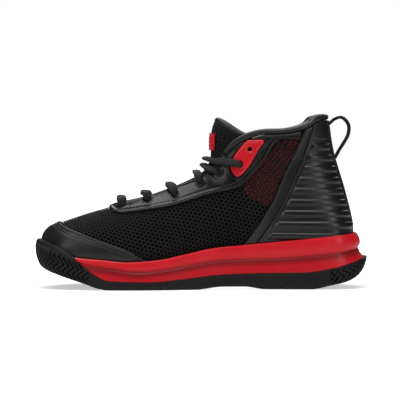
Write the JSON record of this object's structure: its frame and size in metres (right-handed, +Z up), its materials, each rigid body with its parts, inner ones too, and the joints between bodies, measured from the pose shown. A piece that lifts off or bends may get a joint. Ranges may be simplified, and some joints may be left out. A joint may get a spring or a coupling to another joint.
{
  "type": "basketball high top",
  "caption": "Lace-up basketball high top with a mesh upper, padded collar and tongue, heel pull loop, cupped foam midsole and rubber outsole.",
  "frame": {"origin": "on the ground under the centre of the shoe's box", "axes": "+X from toe to heel, -Y the inner (medial) side of this right shoe, +Y its outer (lateral) side, +Z up"},
  "size_m": [0.2997, 0.1088, 0.1568],
  "materials": {
    "black_rubber": "matt moulded rubber",
    "red_foam": "satin foam skin",
    "shank_plastic": "matt",
    "board": "pressed fibre",
    "grey_foam": "open foam",
    "black_cloth": "knitted lining",
    "black_mesh": "engineered mesh",
    "black_synthetic": "fine grained synthetic",
    "black_film": "glossy film",
    "red_film": "satin film",
    "red_cloth": "woven cloth",
    "black_webbing": "woven webbing",
    "tip_plastic": "glossy"
  },
  "bodies": {
    "shoe": {"outsole": "black_rubber", "midsole": "red_foam", "shank_plate": "shank_plastic", "strobel_board": "board", "sockliner": "grey_foam", "sockliner_cover": "black_cloth", "upper_mesh": "black_mesh", "toe_cap": "black_synthetic", "toe_puff": "board", "heel_counter": "board", "backstay": "black_synthetic", "collar_rim": "black_synthetic", "collar_foam": "grey_foam", "lining": "black_cloth", "lace": "black_webbing", "lace_tail_a": "black_webbing", "lace_tail_b": "black_webbing", "aglet_a": "tip_plastic", "aglet_b": "tip_plastic", "eyestay_medial": "black_film", "eyelet_patch_medial": "red_film", "mesh_underlay_medial": "red_cloth", "seam_tape_medial": "black_film", "heel_panel_medial": "black_synthetic", "eyestay_lateral": "black_film", "eyelet_patch_lateral": "red_film", "mesh_underlay_lateral": "red_cloth", "seam_tape_lateral": "black_film", "heel_panel_lateral": "black_synthetic"},
    "tongue": {"tongue_face": "black_mesh", "tongue_foam": "grey_foam", "tongue_lining": "black_cloth", "tongue_binding": "black_synthetic", "tongue_label": "red_film"},
    "pull_loop": {"pull_loop": "black_webbing"}
  },
  "joints": [
    {"name": "tongue_flex", "type": "hinge", "parent": "shoe", "child": "tongue", "pos_m": [-0.08, 0, 0.067], "axis": [0, 1, 0], "range_deg": [0, 12], "stiffness_Nm_per_rad": 0.5, "springref_deg": -2.86},
    {"name": "pull_loop_swing", "type": "hinge", "parent": "shoe", "child": "pull_loop", "pos_m": [0.119, 0, 0.15095], "axis": [0.2055, 0, -0.9787], "range_deg": [-30, 30], "stiffness_Nm_per_rad": 0.01}
  ]
}
